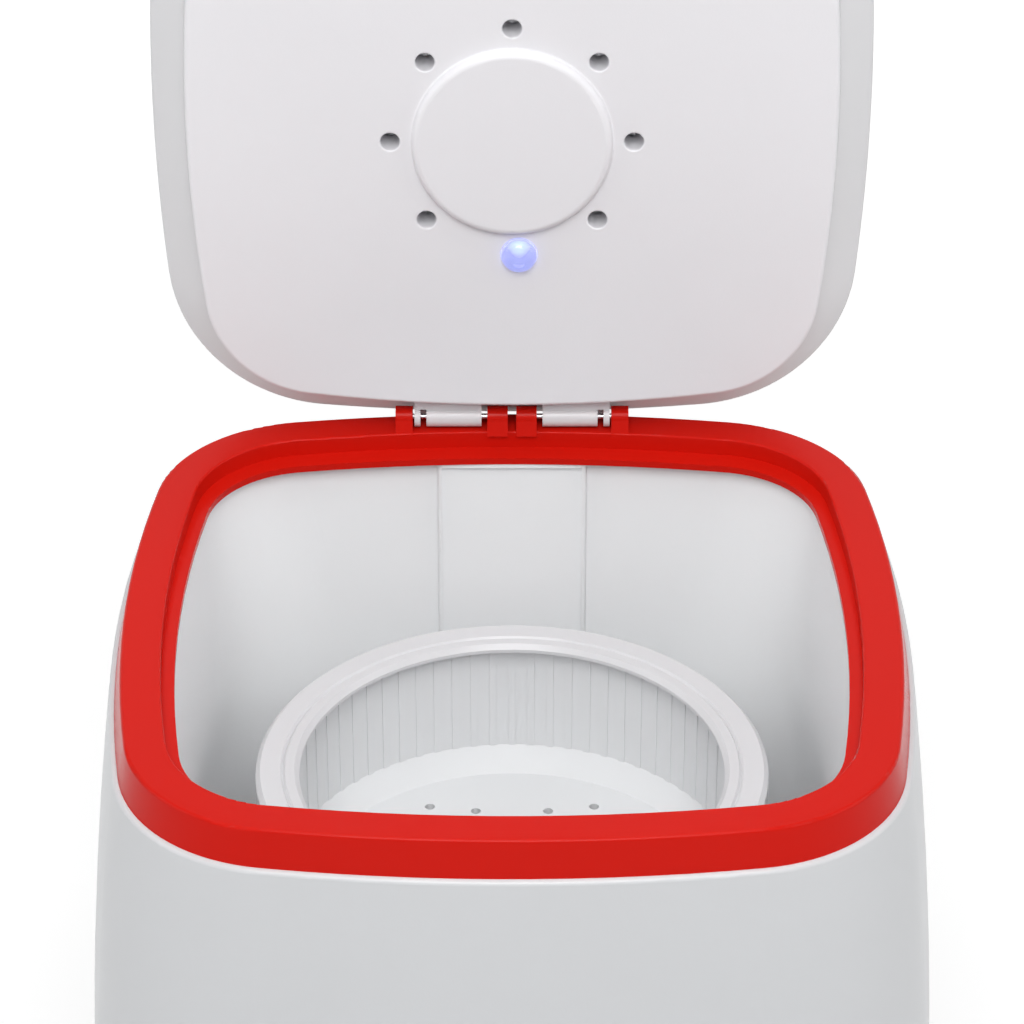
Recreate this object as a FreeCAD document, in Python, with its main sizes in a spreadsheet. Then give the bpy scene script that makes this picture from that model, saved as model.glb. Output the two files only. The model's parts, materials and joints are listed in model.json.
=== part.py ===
"""A small top-loading washing machine with a spin basket, drawn in millimetres.

The floor is z = 0, the spin axis is the z axis and the front faces -y. The lid is drawn shut
and then turned open about its hinge.
"""
import FreeCAD, Part
import math
import os
import re
import Sketcher
from FreeCAD import Placement, Rotation, Vector

SIZES = {
    # feet and base
    "foot_height": 14, "foot_r": 17, "foot_taper": 3, "foot_inset": 59, "foot_recess_r": 8,
    "foot_sole": 4, "pan_thick": 4, "pan_gap": 0.4, "base_boss_r": 7, "base_boss_inset": 5,
    "base_boss_height": 24,
    # casing, a barrel with four bowed sides
    "widest_half": 181.2, "widest_z": 210, "shoulder_proud": 2.1, "casing_wall": 2.8,
    "shoulder_ledge": 3, "ledge_inset": 10, "shoulder_round": 2,
    # rim
    "rim_top": 470, "rim_half": 160, "rim_corner": 66.8, "side_bow": 658, "rim_face": 16.3,
    "rim_wall": 3, "skirt_height": 16, "skirt_flare": 3.2, "skirt_inset": 2.5, "rim_round": 1.6,
    "seat_depth": 7.8, "seat_ledge": 5.5, "back_ledge": 4.4,
    # hinge
    "hinge_setback": 11.4, "hinge_rise": 5.2, "hinge_split": 1.9, "mid_bracket": 9,
    "knuckle_length": 29.6, "end_bracket": 7.6, "hinge_gap": 0.8, "knuckle_gap": 2.6, "knuckle_r": 4.6,
    "bracket_foot": 6.6, "pin_r": 1.2, "pin_play": 0.05, "pin_short": 0.3,
    "arm_reach": 9.5, "arm_low": 2.6, "slot_inset": 2.6, "slot_width": 2.7, "slot_back": 1,
    # lid
    "lid_open": 92, "lid_gap": 3, "panel_gap": 5.3, "panel_corner": 50.2, "panel_bow": 709,
    "panel_thick": 2.5, "panel_round": 2, "plug_height": 9, "plug_step": 1, "lid_flare": 15.8,
    "lid_corner": 72.9, "lid_bow": 962, "lid_widest": 24, "lid_thick": 38, "lid_wall": 2.5,
    "lid_round": 8, "lid_brow": 4, "disc_r": 42.6, "disc_height": 4.2, "disc_round": 3,
    "disc_foot": 1, "disc_back": 137.8, "well_ring_r": 51.8, "well_r": 4.1, "well_mouth": 0.7,
    "well_wall": 2, "well_depth": 17, "well_floor": 3, "boss_r": 5,
    # lamp in the lid
    "lamp_ring_r": 53.2, "lamp_aside": 3, "lamp_r": 7.8, "lamp_fit": 0.2, "lamp_proud": 4.8,
    "lamp_round": 4.6, "lamp_flange": 2.2, "lamp_flange_thick": 1.5, "holder_wall": 1.5, "holder_height": 11,
    "board_drop": 3, "board_thick": 1.6, "led_r": 3.4, "led_height": 5.8, "led_round": 3,
    # tub
    "tub_setback": 1.3, "tub_wall": 2.8, "flange_gap": 2, "tub_floor": 260,
    "tub_floor_half": 126, "tub_floor_corner": 84, "tub_floor_bow": 600, "tub_floor_thick": 3,
    "tub_round": 14,
    # overflow cover on the back wall of the tub
    "cover_width": 66, "cover_proud": 4.2, "cover_wall": 2, "cover_low": 18, "cover_gap": 0.3,
    "cover_round": 3,
    # basket
    "ring_drop": 78, "ring_r": 108.5, "ring_inner_r": 90, "ring_thick": 3.6, "ring_skirt": 22,
    "ring_wall": 2.5, "ring_round": 2, "ring_groove_r": 97, "ring_groove": 1, "basket_r": 98,
    "basket_wall": 2.4, "basket_floor_drop": 146, "basket_floor_thick": 3, "basket_cone": 9.5,
    "basket_round": 8,
    "pedestal_r": 37, "pedestal_wall": 3, "dome_r": 26, "dome_top_r": 12, "dome_height": 14,
    "rib_count": 72, "rib_width": 3, "rib_depth": 0.5, "rib_short": 4, "drain_holes": 12,
    "drain_hole_r": 2.2, "drain_outer_r": 73, "drain_row_r": 62, "drain_inner_r": 46,
    # pulsator and drive
    "shaft_r": 6, "shaft_top": 290, "shaft_bottom": 136, "running_fit": 0.05, "pulsator_r": 88,
    "pulsator_base": 271, "pulsator_thick": 5, "pulsator_lip": 4, "hub_r": 16, "hub_drop": 3,
    "blade_count": 4, "blade_inner": 42, "blade_width": 6, "blade_height": 16, "cap_head_r": 9,
    "cap_head": 5, "cap_shank_r": 2.4, "cap_shank": 17, "housing_flange_r": 55, "housing_flange": 6,
    "housing_r": 22, "housing_neck_r": 15.7, "housing_neck": 9, "neck_gap": 0.3,
    "housing_bottom": 190, "bearing_r": 14, "bearing_width": 10, "seal_r": 12, "seal_height": 8,
    "housing_bore_r": 9, "bearing_inset": 2, "housing_screw_ring": 45, "housing_screws": 6,
    "housing_screw_r": 2, "pulley_mid": 156, "pulley_width": 16, "pulley_r": 66, "pulley_rim": 8,
    "pulley_hub_r": 15, "pulley_hub": 20, "pulley_web": 6, "groove_depth": 3.5, "groove_floor": 7,
    "groove_slope": 2, "web_hole_r": 11, "web_hole_ring": 36, "web_holes": 6, "nut_r": 11,
    "nut_height": 6, "belt_thick": 4, "belt_gap": 0.3, "belt_play": 0.3,
    # motor
    "motor_x": 96, "motor_r": 46, "motor_wall": 2.5, "motor_bottom": 50, "motor_height": 78,
    "motor_cap": 6, "motor_boss_r": 12, "motor_boss": 6, "motor_bush_r": 7, "motor_bush": 8,
    "motor_shaft_r": 4, "motor_pulley_r": 20, "stator_r": 27, "stator_inset": 12,
    "stator_height": 52, "air_gap": 0.8, "rotor_short": 2, "bracket_thick": 6, "bracket_x": 60,
    "bracket_y": 54, "bracket_round": 12, "bolt_x": 50, "bolt_y": 42, "bolt_r": 3, "bolt_head_r": 6,
    "bolt_head": 5, "bolt_play": 0.1, "mount_r": 10,
    # capacitor
    "cap_x": 96, "cap_y": 84, "can_r": 17, "can_height": 62, "can_round": 2, "can_post_r": 2,
    "can_post": 8, "can_post_place": 6, "clip_wall": 1.6, "clip_height": 12, "clip_low": 22,
    "clip_foot": 18,
    # drain
    "drain_inset": 30, "drain_r": 13, "strainer_r": 15, "strainer_thick": 2, "strainer_hole_r": 2,
    "strainer_ring": 9, "strainer_holes": 8, "sump_flange_r": 24, "sump_flange": 6, "pipe_r": 12,
    "pipe_wall": 2.5, "sump_length": 34, "outlet_z": 62, "hose_wall": 2.4, "hose_bend": 44,
    "hose_fit": 0.1, "hose_lap": 16, "spigot_flange_r": 18, "spigot_flange": 3, "spigot_reach": 16,
    "wall_fit": 0.3, "clamp_wall": 1.2, "clamp_width": 8,
    # controls
    "fascia_z": 190, "fascia_half": 103, "fascia_height": 39, "fascia_corner": 16,
    "fascia_proud": 1.5, "fascia_plate": 3, "fascia_wall": 2.5, "fascia_depth": 22,
    "fascia_round": 2, "knob_x": 52, "knob_r": 23, "knob_base": 6, "knob_height": 18.6,
    "knob_bar": 5, "knob_round": 1.5, "knob_gap": 0.4, "knob_roof": 3, "spindle_r": 3,
    "spindle_in": 18, "unit_half": 23, "unit_depth": 36, "unit_round": 3,
    # gland for the mains lead
    "gland_x": 60, "gland_z": 50, "gland_half": 10, "gland_corner": 3, "gland_bore_r": 4,
    "gland_out": 5, "gland_in": 12,
    # screws
    "screw_r": 1.6, "screw_head_r": 3.4, "screw_head": 2.5, "screw_length": 12, "screw_play": 0.3,
}

# Heights and half widths that several pieces share.
SEAT_HALF = "(rim_half - rim_face)"
OPENING_HALF = f"({SEAT_HALF} - seat_ledge)"
SKIRT_BOTTOM = "(rim_top - skirt_height)"
SHOULDER_HALF = "(rim_half + skirt_flare + shoulder_proud)"
LEDGE_HALF = "(rim_half - ledge_inset)"
SEAT_UNDER = "(rim_top - seat_depth - rim_wall)"
HINGE_Y = "(rim_half - hinge_setback)"
HINGE_Z = "(rim_top + hinge_rise)"
MID_OUT = "(hinge_split + mid_bracket)"
KNUCKLE_IN = f"({MID_OUT} + knuckle_gap)"
KNUCKLE_OUT = f"({KNUCKLE_IN} + knuckle_length)"
END_IN = f"({KNUCKLE_OUT} + hinge_gap)"
END_OUT = f"({END_IN} + end_bracket)"
PANEL_Z = "(rim_top - seat_depth + lid_gap)"
PANEL_HALF = f"({SEAT_HALF} - panel_gap)"
PLUG_TOP = f"({PANEL_Z} + plug_height)"
WIDEST = f"({PANEL_Z} + lid_widest)"
LID_HALF = f"({PANEL_HALF} + lid_flare)"
LID_TOP = f"({PANEL_Z} + lid_thick)"
DISC_Y = f"({HINGE_Y} - disc_back)"
WELL_END = f"({PANEL_Z} + well_depth)"
LAMP_Y = f"({DISC_Y} + lamp_ring_r)"
TUB_UNDER = "(tub_floor - tub_floor_thick)"
TUB_HALF = f"({OPENING_HALF} + tub_setback)"
DRAIN_Y = "(tub_floor_half - drain_inset)"
RING_TOP = "(rim_top - ring_drop)"
RING_UNDER = f"({RING_TOP} - ring_thick)"
BASKET_FLOOR = "(rim_top - basket_floor_drop)"
PULSATOR_TOP = "(pulsator_base + pulsator_thick)"
PAN_TOP = "(foot_height + pan_thick)"
MOTOR_TOP = "(motor_bottom + motor_height)"
GROOVE_R = "(pulley_r - groove_depth)"
MOTOR_GROOVE_R = "(motor_pulley_r - groove_depth)"
FASCIA_FRONT = "(widest_half + fascia_proud)"
FASCIA_BACK = f"({FASCIA_FRONT} - fascia_plate)"
HOSE_R = "(pipe_r + hose_fit)"

# Exponent of the superellipse that is nearest to the rounded squares.
SQUARENESS = 3.7
# Lengths and volumes that differ by less are the same.
NEAR = 1e-3
WELLS = [f"{step * 45}" for step in range(8) if step != 2]
QUARTERS = [(-1, -1), (1, -1), (-1, 1), (1, 1)]

doc = FreeCAD.newDocument("washing_machine")
sheet = doc.addObject("Spreadsheet::Sheet", "dims")
for row, (alias, size) in enumerate(SIZES.items(), 1):
    sheet.set(f"A{row}", alias)
    sheet.set(f"B{row}", str(size))
    sheet.setAlias(f"B{row}", alias)
doc.recompute()
sub_parts = []


# Expressions, sketches and features

def bind(text):
    """Turns the size names in an expression into references to the sheet's cells."""
    def cell(word):
        return f"dims.{word[0]}" if word[0] in SIZES else word[0]
    return re.sub(r"[a-z_]+", cell, str(text))


def value(text):
    return float(sheet.evalExpression(bind(text)))


def casing_half(z, inset="0"):
    """Half width of the casing at a height, a parabola about its widest level."""
    fall = f"(({z} - widest_z) / ({SKIRT_BOTTOM} - widest_z))^2"
    return f"(widest_half - (widest_half - {SHOULDER_HALF}) * {fall} - ({inset}))"


def bow_drop(x):
    """How far a bowed side of the casing falls back at a distance from its middle."""
    return f"(side_bow - sqrt(side_bow^2 - ({x})^2))"


def around(radius, angle, x="0", y="0"):
    return f"({x} + {radius} * cos({angle}))", f"({y} + {radius} * sin({angle}))"


def new_body(label):
    body = doc.addObject("PartDesign::Body", label)
    sub_parts.append(body)
    return body


def sketch(body, role="XY_Plane", offset="0"):
    plane = next(item for item in body.Origin.OriginFeatures if item.Role == role)
    drawing = body.newObject("Sketcher::SketchObject", f"{body.Label}_sketch")
    drawing.AttachmentSupport = [(plane, "")]
    drawing.MapMode = "FlatFace"
    drawing.setExpression("AttachmentOffset.Base.z", bind(offset))
    return drawing


def constrain(drawing, text, kind, *where):
    """Adds a constraint whose value follows an expression."""
    index = drawing.addConstraint(Sketcher.Constraint(kind, *where, value(text)))
    drawing.setExpression(f"Constraints[{index}]", bind(text))


def pin_point(drawing, geometry, end, x, y):
    for text, kind, axis in ((x, "DistanceX", -2), (y, "DistanceY", -1)):
        if text == "0":
            drawing.addConstraint(Sketcher.Constraint("PointOnObject", geometry, end, axis))
        else:
            constrain(drawing, text, kind, -1, 1, geometry, end)


def polygon(drawing, points):
    corners = [Vector(value(x), value(y), 0) for x, y in points]
    first = drawing.GeometryCount
    count = len(points)
    for step in range(count):
        drawing.addGeometry(Part.LineSegment(corners[step], corners[(step + 1) % count]))
    for step in range(count):
        after = first + (step + 1) % count
        drawing.addConstraint(Sketcher.Constraint("Coincident", first + step, 2, after, 1))
    for step, (x, y) in enumerate(points):
        pin_point(drawing, first + step, 1, x, y)
    return drawing


def box(drawing, left, right, low, high):
    return polygon(drawing, [(left, low), (right, low), (right, high), (left, high)])


def circle(drawing, radius, x="0", y="0"):
    centre = Vector(value(x), value(y), 0)
    index = drawing.addGeometry(Part.Circle(centre, Vector(0, 0, 1), value(radius)))
    constrain(drawing, radius, "Radius", index)
    pin_point(drawing, index, 3, x, y)
    return drawing


def arcs(drawing, centres, angles):
    """Draws tangent arcs end to end and gives the index of the first."""
    first = drawing.GeometryCount
    for (x, y, radius), (start, end) in zip(centres, angles):
        ring = Part.Circle(Vector(x, y, 0), Vector(0, 0, 1), radius)
        drawing.addGeometry(Part.ArcOfCircle(ring, start, end))
    count = len(centres)
    for step in range(count):
        after = first + (step + 1) % count
        drawing.addConstraint(Sketcher.Constraint("Tangent", first + step, 2, after, 1))
    return first


def outline(drawing, half_x, half_y, corner, bow, shift="0"):
    """A rounded square with four bowed sides, as eight tangent arcs."""
    side, round_r, lift = value(bow), value(corner), value(shift)
    side_x, side_y = value(half_x) - side, value(half_y) - side
    reach = math.hypot(side_x, side_y)
    rise = math.sqrt((side - round_r) ** 2 - reach ** 2 / 4)
    x, y = side_x / 2 - rise * side_y / reach, side_y / 2 - rise * side_x / reach
    low, high = math.atan2(y, x - side_x), math.atan2(y - side_y, x)
    turn = math.pi
    centres = [(side_x, 0, side), (x, y, round_r), (0, side_y, side), (-x, y, round_r),
               (-side_x, 0, side), (-x, -y, round_r), (0, -side_y, side), (x, -y, round_r)]
    ends = [-low, low, high, turn - high, turn - low, turn + low, turn + high,
            2 * turn - high, 2 * turn - low]
    centres = [(across, along + lift, radius) for across, along, radius in centres]
    first = arcs(drawing, centres, list(zip(ends, ends[1:])))
    for step in range(8):
        constrain(drawing, corner if step % 2 else bow, "Radius", first + step)
    for step, x, y in ((0, f"{half_x} - {bow}", shift), (2, "0", f"{half_y} - {bow} + {shift}"),
                       (4, f"{bow} - {half_x}", shift), (6, "0", f"{bow} - {half_y} + {shift}")):
        pin_point(drawing, first + step, 3, x, y)
    return drawing


def rim_outline(drawing, half):
    """An offset of the rim's outline with the given half width."""
    corner, bow = (f"({size} + {half} - rim_half)" for size in ("rim_corner", "side_bow"))
    return outline(drawing, half, half, corner, bow)


def round_box(drawing, half_x, half_y, corner, x="0", y="0"):
    """A rectangle with round corners about a centre."""
    across, along, radius = value(half_x), value(half_y), value(corner)
    middle = Vector(value(x), value(y), 0)
    first = drawing.GeometryCount
    for step, (side_x, side_y) in enumerate(((1, 1), (-1, 1), (-1, -1), (1, -1))):
        centre = middle + Vector(side_x * (across - radius), side_y * (along - radius), 0)
        ring = Part.Circle(centre, Vector(0, 0, 1), radius)
        start = step * math.pi / 2
        stop = start + math.pi / 2
        drawing.addGeometry(Part.ArcOfCircle(ring, start, stop))
        end = centre + Vector(math.cos(stop), math.sin(stop), 0) * radius
        run = 2 * (along - radius) if step % 2 else 2 * (across - radius)
        heading = Vector(math.cos(start + math.pi), math.sin(start + math.pi), 0)
        drawing.addGeometry(Part.LineSegment(end, end + heading * run))
        constrain(drawing, corner, "Radius", first + 2 * step)
        pin_point(drawing, first + 2 * step, 3, f"{x} + {side_x} * ({half_x} - ({corner}))",
                  f"{y} + {side_y} * ({half_y} - ({corner}))")
    for step in range(8):
        after = first + (step + 1) % 8
        drawing.addConstraint(Sketcher.Constraint("Tangent", first + step, 2, after, 1))
    return drawing


def feature(body, kind, drawing, **bound):
    made = body.newObject(f"PartDesign::{kind}", f"{body.Label}_{kind.lower()}")
    made.Profile = drawing
    for name, text in bound.items():
        made.setExpression(name, bind(text))
    return made


def settle(made):
    """Recomputes the document and stops at a feature that failed."""
    doc.recompute()
    if "Invalid" in made.State or made.Shape.isNull():
        raise RuntimeError(f"{made.Label}: {made.getStatusString()}")
    return made


def pad(body, drawing, length, reverse=False):
    made = feature(body, "Pad", drawing, Length=length)
    made.Reversed = reverse
    return settle(made)


def pocket(body, drawing, length, reverse=False):
    """Cuts against the sketch's normal, or along it when reversed, and must take something away."""
    before = body.Shape.Volume
    made = feature(body, "Pocket", drawing, Length=length)
    made.Reversed = reverse
    settle(made)
    if body.Shape.Volume > before - NEAR:
        raise RuntimeError(f"{body.Label}: a pocket cuts nothing")
    return made


def loft(body, drawings, cut=False, ruled=True):
    made = feature(body, "SubtractiveLoft" if cut else "AdditiveLoft", drawings[0])
    made.Sections = drawings[1:]
    made.Ruled = ruled
    made.Refine = False
    return settle(made)


def revolve(body, drawing):
    made = feature(body, "Revolution", drawing)
    made.ReferenceAxis = (drawing, ["V_Axis"])
    made.Angle = 360
    return settle(made)


def polar(body, original, count):
    drawing = original.Profile[0]
    made = body.newObject("PartDesign::PolarPattern", f"{body.Label}_pattern")
    made.Originals = [original]
    made.Axis = (drawing, ["N_Axis"])
    made.Angle = 360
    made.setExpression("Occurrences", bind(count))
    body.Tip = made
    return settle(made)


def fillet(body, radius, wanted):
    """Rounds the edges of the body that a test accepts."""
    base = body.Tip
    names = [f"Edge{number}" for number, edge in enumerate(base.Shape.Edges, 1) if wanted(edge)]
    made = body.newObject("PartDesign::Fillet", f"{body.Label}_fillet")
    made.Base = (base, names)
    made.setExpression("Radius", bind(radius))
    return settle(made)


def level(z, least="0", most="1e9"):
    """Accepts edges that lie flat at a height, between two half widths of a rounded square."""
    height, inner, outer = value(z), value(least), value(most)

    def test(edge):
        span = edge.BoundBox
        middle = edge.valueAt((edge.FirstParameter + edge.LastParameter) / 2)
        flat = abs(span.ZMin - height) < NEAR and abs(span.ZMax - height) < NEAR
        half = (abs(middle.x) ** SQUARENESS + abs(middle.y) ** SQUARENESS) ** (1 / SQUARENESS)
        return flat and inner < half < outer
    return test


def whole_circle(z, radius):
    """Accepts circles of a radius that lie flat at a height."""
    at_height, length = level(z), 2 * math.pi * value(radius)
    return lambda edge: at_height(edge) and abs(edge.Length - length) < NEAR


def in_front_of(reach):
    """Accepts edges that lie no further back than a distance ahead of the spin axis."""
    front = -value(reach)
    return lambda edge: edge.BoundBox.YMax < front + NEAR


def place(body, x="0", y="0", z="0", axis=Vector(1, 0, 0), angle=0):
    body.Placement = Placement(Vector(), Rotation(axis, angle))
    for name, text in zip("xyz", (x, y, z)):
        body.setExpression(f"Placement.Base.{name}", bind(text))
    return body


def on_lid(body, x="0", y="0", z="0"):
    """Turns a piece that is drawn at a place on the shut lid to the open lid, about the hinge."""
    body.Placement = Placement(Vector(), Rotation(Vector(-1, 0, 0), value("lid_open")))
    body.setExpression("Placement.Rotation.Angle", bind("lid_open"))
    ahead, above = f"({y} - {HINGE_Y})", f"({z} - {HINGE_Z})"
    body.setExpression("Placement.Base.x", bind(x))
    turned_y = f"{HINGE_Y} + {ahead} * cos(lid_open) + {above} * sin(lid_open)"
    turned_z = f"{HINGE_Z} - {ahead} * sin(lid_open) + {above} * cos(lid_open)"
    body.setExpression("Placement.Base.y", bind(turned_y))
    body.setExpression("Placement.Base.z", bind(turned_z))
    return body


def turned(label, *profiles):
    """A piece turned about its own z axis, from one or more closed profiles of (radius, height)."""
    body = new_body(label)
    drawing = sketch(body, "XZ_Plane")
    for points in profiles:
        polygon(drawing, points)
    revolve(body, drawing)
    return body


def tube(inner, outer, low, high):
    return [(inner, low), (outer, low), (outer, high), (inner, high)]


def screws(label, places, start, head_r, head, shank_r, shank, down=True):
    """A group of equal screws; the heads start at a height and the shanks run on from them."""
    body = new_body(label)
    under_head = f"{start} {'-' if down else '+'} {head}"
    for radius, offset, length in ((head_r, start, head), (shank_r, under_head, shank)):
        drawing = sketch(body, offset=offset)
        for x, y in places:
            circle(drawing, radius, x, y)
        pad(body, drawing, length, reverse=down)
    return body


def holes(body, places, radius, start, depth, up=True):
    drawing = sketch(body, offset=start)
    for x, y in places:
        circle(drawing, radius, x, y)
    return pocket(body, drawing, depth, reverse=up)


# Places that several pieces share

BASE_BOSS_REACH = casing_half("foot_height", "casing_wall + base_boss_inset")
BASE_BOSSES = [(BASE_BOSS_REACH, "0"), (f"-{BASE_BOSS_REACH}", "0"),
               ("0", BASE_BOSS_REACH), ("0", f"-{BASE_BOSS_REACH}")]
FOOT_PLACE = casing_half("foot_height", "foot_inset")
FEET = [(f"{x} * {FOOT_PLACE}", f"{y} * {FOOT_PLACE}") for x, y in QUARTERS]
MOUNTS = [(f"motor_x + {x} * bolt_x", f"{y} * bolt_y") for x, y in QUARTERS]
HOUSING_HOLES = [around("housing_screw_ring", f"{step} * 360 / housing_screws")
                 for step in range(round(value("housing_screws")))]
WELL_PLACES = [around("well_ring_r", angle, y=DISC_Y) for angle in WELLS]


# Casing, base and feet

def make_casing():
    body = new_body("body_casing")
    levels = ["foot_height", f"((foot_height + {SKIRT_BOTTOM}) / 2)", SKIRT_BOTTOM]
    outer = [rim_outline(sketch(body, offset=z), casing_half(z)) for z in levels]
    loft(body, outer, ruled=False)
    inside = levels[:-1] + [f"({SKIRT_BOTTOM} - shoulder_ledge)"]
    inner = [rim_outline(sketch(body, offset=z), casing_half(z, "casing_wall")) for z in inside]
    loft(body, inner, cut=True, ruled=False)
    fillet(body, "shoulder_round", level(SKIRT_BOTTOM))
    pocket(body, rim_outline(sketch(body, offset=SKIRT_BOTTOM), LEDGE_HALF), "2 * shoulder_ledge")
    boss = sketch(body, offset=PAN_TOP)
    for x, y in BASE_BOSSES:
        circle(boss, "base_boss_r", x, y)
    pad(body, boss, "base_boss_height")
    holes(body, BASE_BOSSES, "screw_r", PAN_TOP, "screw_length")
    window = sketch(body, "XZ_Plane", f"({FASCIA_FRONT} - fascia_depth)")
    round_box(window, "fascia_half + wall_fit", "fascia_height + wall_fit", "fascia_corner + wall_fit",
              y="fascia_z")
    pocket(body, window, "2 * fascia_depth", reverse=True)
    back = sketch(body, "XZ_Plane", f"-{LEDGE_HALF}")
    circle(back, "pipe_r + wall_fit", y="outlet_z")
    gland_outline(back, "wall_fit")
    pocket(body, back, LEDGE_HALF)


def make_base():
    pan = new_body("base_pan")
    half = casing_half("foot_height", "(casing_wall + pan_gap)")
    pad(pan, rim_outline(sketch(pan, offset="foot_height"), half), "pan_thick")
    holes(pan, BASE_BOSSES, "screw_r + screw_play", "foot_height", "pan_thick")
    holes(pan, FEET, "screw_r", "foot_height", "pan_thick")
    holes(pan, MOUNTS, "bolt_r", "foot_height", "pan_thick")
    screws("base_screws", BASE_BOSSES, "(foot_height - screw_head)", "screw_head_r", "screw_head",
           "screw_r", "screw_length", down=False)
    screws("foot_screws", FEET, "foot_sole", "screw_head_r", "screw_head", "screw_r",
           "foot_height + pan_thick - foot_sole - screw_head", down=False)
    hole, recess = "screw_r + screw_play", "(foot_sole + screw_head)"
    profile = [("foot_recess_r", "0"), ("foot_r - foot_taper", "0"), ("foot_r", "foot_height"),
               (hole, "foot_height"), (hole, recess), ("foot_recess_r", recess)]
    for corner, (x, y) in zip(("front_left", "front_right", "rear_left", "rear_right"), FEET):
        place(turned(f"foot_{corner}", profile), x, y)


# Rim with its hinge brackets, and the pins

def hinge_profile(drawing):
    return circle(drawing, "knuckle_r", HINGE_Y, HINGE_Z)


def bracket_foot(drawing):
    root = "(rim_top - rim_wall / 2)"
    return polygon(drawing, [(f"{HINGE_Y} - bracket_foot", root), (f"{HINGE_Y} + bracket_foot", root),
                             (f"{HINGE_Y} + knuckle_r", HINGE_Z), (f"{HINGE_Y} - knuckle_r", HINGE_Z)])


def arm_profile(drawing):
    low, high = f"{HINGE_Z} - arm_low", f"{HINGE_Z} + knuckle_r"
    return box(drawing, f"{HINGE_Y} - arm_reach", HINGE_Y, low, high)


def along_hinge(body, profiles, start, width):
    """Pads profiles over a stretch of the hinge line, on the right and on the left."""
    for x in (start, f"-({start} + {width})"):
        for draw in profiles:
            pad(body, draw(sketch(body, "YZ_Plane", x)), width)


def hinge_bore(body, play):
    reach = f"({END_OUT} + hinge_gap)"
    bore = circle(sketch(body, "YZ_Plane", reach), f"pin_r + {play}", HINGE_Y, HINGE_Z)
    pocket(body, bore, f"2 * {reach}")


def make_rim():
    body = new_body("top_rim")
    skirt = rim_outline(sketch(body, offset=SKIRT_BOTTOM), "(rim_half + skirt_flare)")
    loft(body, [skirt, rim_outline(sketch(body, offset="rim_top"), "rim_half")])
    pocket(body, rim_outline(sketch(body, offset="rim_top"), SEAT_HALF), "seat_depth")
    mouth = sketch(body, offset="rim_top")
    outline(mouth, OPENING_HALF, f"({OPENING_HALF} - back_ledge / 2)",
            f"(rim_corner + {OPENING_HALF} - rim_half)", f"(side_bow + {OPENING_HALF} - rim_half)",
            "-back_ledge / 2")
    pocket(body, mouth, "skirt_height")
    seat_outside = f"({SEAT_HALF} + rim_wall)"
    under = rim_outline(sketch(body, offset=SKIRT_BOTTOM), seat_outside)
    pocket(body, under, f"{SEAT_UNDER} - {SKIRT_BOTTOM}", reverse=True)
    hollow = rim_outline(sketch(body, offset=SKIRT_BOTTOM), "(rim_half - skirt_inset)")
    pocket(body, rim_outline(hollow, seat_outside), "skirt_height - rim_wall", reverse=True)
    crest = "(rim_half - rim_face / 2)"
    fillet(body, "rim_round", level("rim_top", least=crest))
    fillet(body, "rim_round / 2", level("rim_top", most=crest))
    along_hinge(body, (bracket_foot, hinge_profile), "hinge_split", "mid_bracket")
    along_hinge(body, (bracket_foot, hinge_profile), END_IN, "end_bracket")
    hinge_bore(body, "0")
    for side, x in (("right", "hinge_split + pin_short"), ("left", f"pin_short - {END_OUT}")):
        pin = doc.addObject("Part::Cylinder", f"hinge_pin_{side}")
        pin.setExpression("Radius", bind("pin_r"))
        pin.setExpression("Height", bind(f"{END_OUT} - hinge_split - 2 * pin_short"))
        sub_parts.append(place(pin, x, HINGE_Y, HINGE_Z, Vector(0, 1, 0), 90))


# Tub and what is fixed to it

def tub_section(body, z, inset):
    """The tub's outline at its floor or its top, offset outwards."""
    drawing = sketch(body, offset=z)
    if z == SKIRT_BOTTOM or z == SEAT_UNDER:
        return rim_outline(drawing, f"({TUB_HALF} + {inset})")
    half = f"(tub_floor_half + {inset})"
    return outline(drawing, half, half, f"(tub_floor_corner + {inset})", f"(tub_floor_bow + {inset})")


def make_tub():
    body = new_body("wash_tub")
    loft(body, [tub_section(body, TUB_UNDER, "tub_wall"), tub_section(body, SKIRT_BOTTOM, "tub_wall")])
    flange = rim_outline(sketch(body, offset=SKIRT_BOTTOM), "(rim_half - skirt_inset - flange_gap)")
    pad(body, flange, f"{SEAT_UNDER} - {SKIRT_BOTTOM}")
    loft(body, [tub_section(body, "tub_floor", "0"), tub_section(body, SEAT_UNDER, "0")], cut=True)
    fillet(body, "tub_round", level("tub_floor"))
    fillet(body, "tub_round", level(TUB_UNDER))
    holes(body, [("0", "0")], "housing_neck_r + neck_gap", TUB_UNDER, "tub_floor_thick")
    holes(body, [("0", DRAIN_Y)], "drain_r", TUB_UNDER, "tub_floor_thick")
    holes(body, HOUSING_HOLES, "housing_screw_r", TUB_UNDER, "tub_floor_thick / 2")


def back_wall(z):
    """Where the tub's back wall stands at a height, at the edge of the overflow cover."""
    slope = f"({TUB_HALF} - tub_floor_half) / ({SEAT_UNDER} - tub_floor)"
    bow = "(cover_width / 2)^2 / (2 * tub_floor_bow)"
    return f"(tub_floor_half + ({z} - tub_floor) * {slope} - {bow})"


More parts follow.
